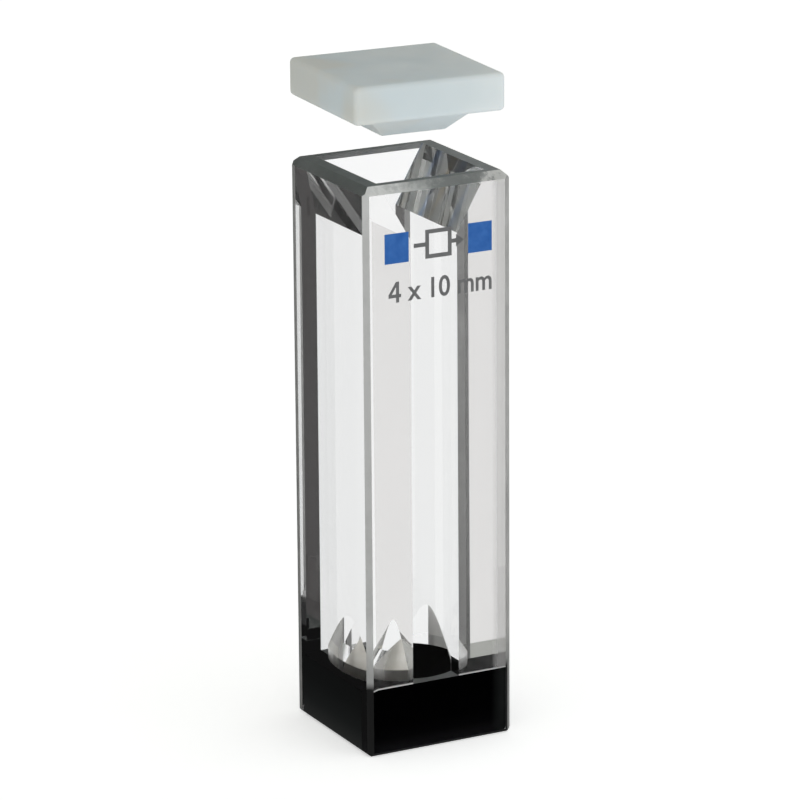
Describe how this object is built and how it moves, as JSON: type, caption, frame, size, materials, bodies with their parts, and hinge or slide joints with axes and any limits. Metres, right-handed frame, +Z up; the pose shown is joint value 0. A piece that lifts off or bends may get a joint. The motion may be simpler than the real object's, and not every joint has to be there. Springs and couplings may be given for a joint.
{
  "type": "cuvette",
  "caption": "Clear square quartz cell with a narrow chamber, funnel mouth, black base with a round stirrer pocket, and a white PTFE lid raised above it.",
  "frame": {"origin": "centre of the cell's foot, on the surface that it stands on", "axes": "+Z up towards the mouth; the light path is along Y, through the windows; the chamber's width is along X"},
  "size_m": [0.013, 0.013, 0.0527],
  "materials": {
    "quartz": "polished clear fused quartz",
    "black_quartz": "polished black fused quartz",
    "ptfe": "satin white PTFE"
  },
  "bodies": {
    "root": {"front_window": "quartz", "rear_window": "quartz", "left_wall": "quartz", "right_wall": "quartz", "stirrer_base": "black_quartz", "lid": "ptfe"}
  },
  "joints": []
}
